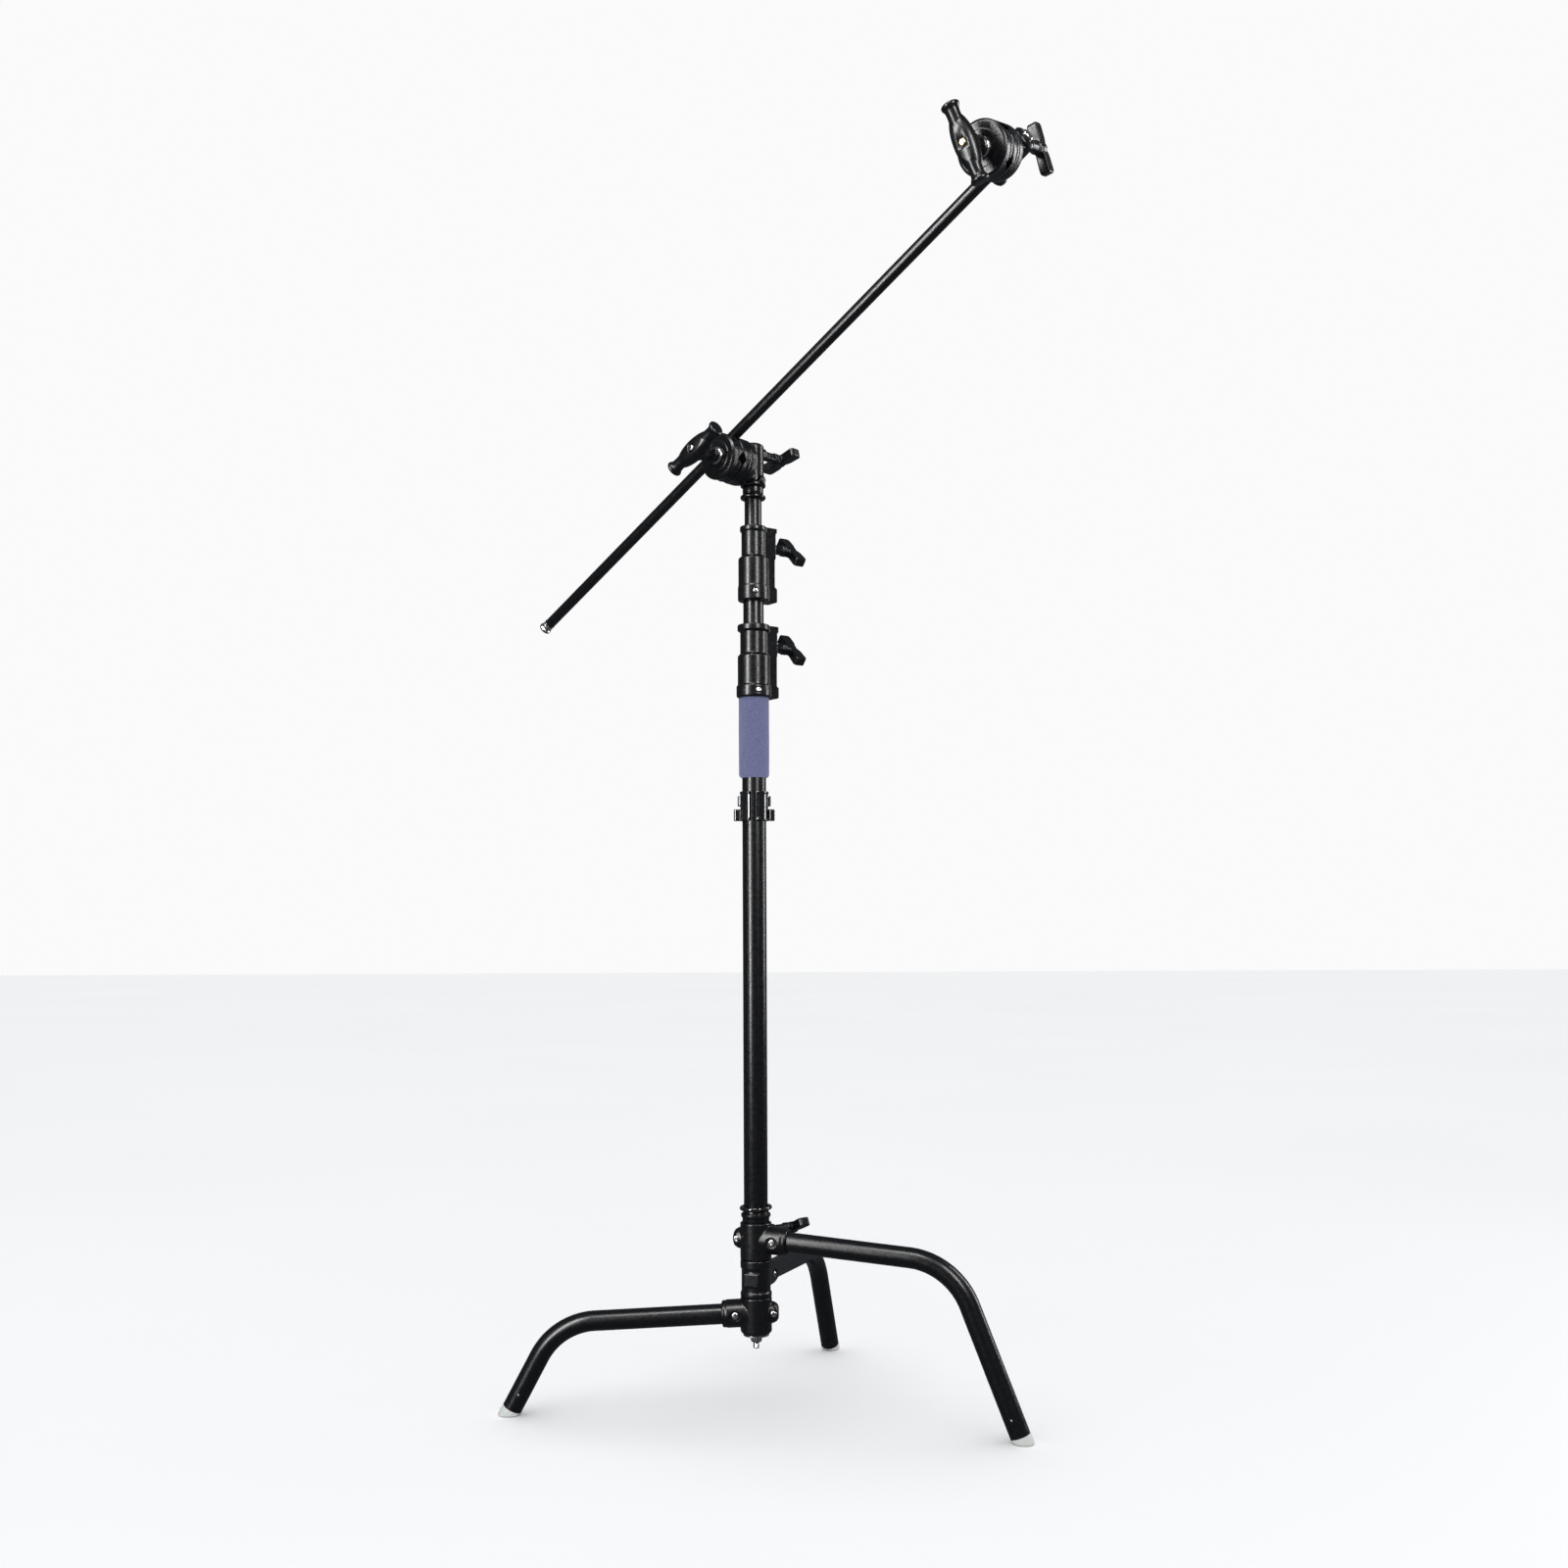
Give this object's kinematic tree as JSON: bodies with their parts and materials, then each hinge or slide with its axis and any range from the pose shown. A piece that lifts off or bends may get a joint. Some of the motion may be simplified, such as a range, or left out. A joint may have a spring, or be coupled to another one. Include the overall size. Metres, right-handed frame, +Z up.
{
  "type": "c stand",
  "caption": "Century stand: folding turtle base with bent tube legs, telescoping column with clamp knobs, grip arm and round-jawed grip heads.",
  "frame": {"origin": "middle of the stand's footprint box, on the floor", "axes": "+Z up along the column; X to the right and Y away as the picture sees it; the right leg points near +X"},
  "size_m": [0.7712, 0.853, 1.7313],
  "materials": {
    "black_coat": "satin black powder coat",
    "black_cast": "satin black coated casting",
    "black_iron": "satin black coated iron casting",
    "black_plastic": "glossy black plastic",
    "bright_steel": "bright zinc and chrome plate",
    "steel": "plain machined steel",
    "blue_foam": "soft blue grey closed-cell foam",
    "pale_foot": "milky off-white moulded plastic",
    "grey_bush": "grey acetal"
  },
  "bodies": {
    "base": {"centre_post": "black_coat", "base_bolt": "bright_steel", "base_washer": "steel", "base_nut": "bright_steel", "upper_hub": "black_iron", "leg_tube_right": "black_coat", "foot_pad_right": "pale_foot", "leg_screw_right": "bright_steel", "lug_screw_right": "bright_steel"},
    "middle_leg": {"middle_hub": "black_iron", "leg_tube_back": "black_coat", "foot_pad_back": "pale_foot", "leg_screw_back": "bright_steel"},
    "lower_leg": {"lower_hub": "black_iron", "leg_tube_left": "black_coat", "foot_pad_left": "pale_foot", "leg_screw_left": "bright_steel", "lug_screw_left": "bright_steel"},
    "base_knob": {"knob_base": "black_cast", "knob_base_stud": "steel"},
    "column": {"column_plug": "steel", "base_tube": "black_coat", "column_ring": "black_plastic", "foam_sleeve": "blue_foam", "casting_2": "black_cast", "casting_2_shoe": "steel", "casting_2_screw": "bright_steel"},
    "clip": {"clip_ring": "black_plastic"},
    "casting_2_knob": {"knob_casting_2": "black_cast", "knob_casting_2_stud": "steel"},
    "riser_2": {"riser_2": "black_coat", "riser_2_bush": "grey_bush", "casting_1": "black_cast", "casting_1_shoe": "steel", "casting_1_screw": "bright_steel"},
    "casting_1_knob": {"knob_casting_1": "black_cast", "knob_casting_1_stud": "steel"},
    "riser_3": {"riser_3": "black_coat", "riser_3_bush": "grey_bush", "top_spigot": "black_coat"},
    "head_1": {"bracket_1": "black_cast", "clamp_bolt_1": "bright_steel"},
    "head_1_knob": {"knob_head_1": "black_cast", "knob_head_1_stud": "steel"},
    "handle_1": {"handle_1": "black_cast", "handle_screw_1": "bright_steel"},
    "plates_1": {"middle_plate_1": "black_cast", "front_plate_1": "black_cast", "bearing_washer_1": "bright_steel"},
    "arm": {"grip_arm": "black_coat", "arm_tip": "bright_steel"},
    "head_2": {"bracket_2": "black_cast", "clamp_bolt_2": "bright_steel"},
    "head_2_knob": {"knob_head_2": "black_cast", "knob_head_2_stud": "steel"},
    "handle_2": {"handle_2": "black_cast", "handle_screw_2": "bright_steel"},
    "plates_2": {"middle_plate_2": "black_cast", "front_plate_2": "black_cast", "bearing_washer_2": "bright_steel"}
  },
  "joints": [
    {"name": "middle_leg_fold", "type": "hinge", "parent": "base", "child": "middle_leg", "pos_m": [-0.0036, 0.0461, 0.205], "axis": [0, 0, 1], "range_deg": [-80, 0]},
    {"name": "lower_leg_fold", "type": "hinge", "parent": "base", "child": "lower_leg", "pos_m": [-0.0036, 0.0461, 0.153], "axis": [0, 0, 1], "range_deg": [0, 154]},
    {"name": "base_knob_spin", "type": "hinge", "parent": "base", "child": "base_knob", "pos_m": [0.0521, 0.0851, 0.27], "axis": [0.8192, 0.5736, 0], "continuous": true},
    {"name": "column_lift", "type": "slide", "parent": "base", "child": "column", "axis": [0, 0, 1], "range_m": [0, 0.14]},
    {"name": "clip_turn", "type": "hinge", "parent": "column", "child": "clip", "pos_m": [-0.0036, 0.0461, 0.895], "axis": [0, 0, 1], "continuous": true},
    {"name": "casting_2_knob_spin", "type": "hinge", "parent": "column", "child": "casting_2_knob", "pos_m": [0.0521, 0.0851, 1.13], "axis": [0.8192, 0.5736, 0], "continuous": true},
    {"name": "riser_2_slide", "type": "slide", "parent": "column", "child": "riser_2", "axis": [0, 0, 1], "range_m": [-0.034, 0.7]},
    {"name": "casting_1_knob_spin", "type": "hinge", "parent": "riser_2", "child": "casting_1_knob", "pos_m": [0.0521, 0.0851, 1.276], "axis": [0.8192, 0.5736, 0], "continuous": true},
    {"name": "riser_3_slide", "type": "slide", "parent": "riser_2", "child": "riser_3", "axis": [0, 0, 1], "range_m": [-0.038, 0.74]},
    {"name": "head_1_pan", "type": "hinge", "parent": "riser_3", "child": "head_1", "pos_m": [-0.0036, 0.0461, 1.392], "axis": [0, 0, 1], "continuous": true},
    {"name": "head_1_knob_spin", "type": "hinge", "parent": "head_1", "child": "head_1_knob", "pos_m": [0.03748, 0.09254, 1.414], "axis": [0.6626, 0.749, 0], "continuous": true},
    {"name": "handle_1_spin", "type": "hinge", "parent": "head_1", "child": "handle_1", "pos_m": [-0.0036, 0.0461, 1.392], "axis": [-0.6626, -0.749, 0], "continuous": true},
    {"name": "arm_tilt", "type": "hinge", "parent": "head_1", "child": "plates_1", "pos_m": [-0.0036, 0.0461, 1.392], "axis": [-0.6626, -0.749, 0], "range_deg": [-50, 60]},
    {"name": "arm_slide", "type": "slide", "parent": "plates_1", "child": "arm", "axis": [0.6607, -0.5845, 0.471], "range_m": [-0.3, 0.3]},
    {"name": "head_2_pan", "type": "hinge", "parent": "arm", "child": "head_2", "pos_m": [0.31941, -0.31411, 1.67129], "axis": [0.6607, -0.5845, 0.471], "continuous": true},
    {"name": "head_2_knob_spin", "type": "hinge", "parent": "head_2", "child": "head_2_knob", "pos_m": [0.36661, -0.27687, 1.69801], "axis": [0.5268, 0.808, 0.2638], "continuous": true},
    {"name": "handle_2_spin", "type": "hinge", "parent": "head_2", "child": "handle_2", "pos_m": [0.31941, -0.31411, 1.67129], "axis": [-0.5268, -0.808, -0.2638], "continuous": true},
    {"name": "plates_2_turn", "type": "hinge", "parent": "head_2", "child": "plates_2", "pos_m": [0.31941, -0.31411, 1.67129], "axis": [-0.5268, -0.808, -0.2638], "continuous": true}
  ]
}
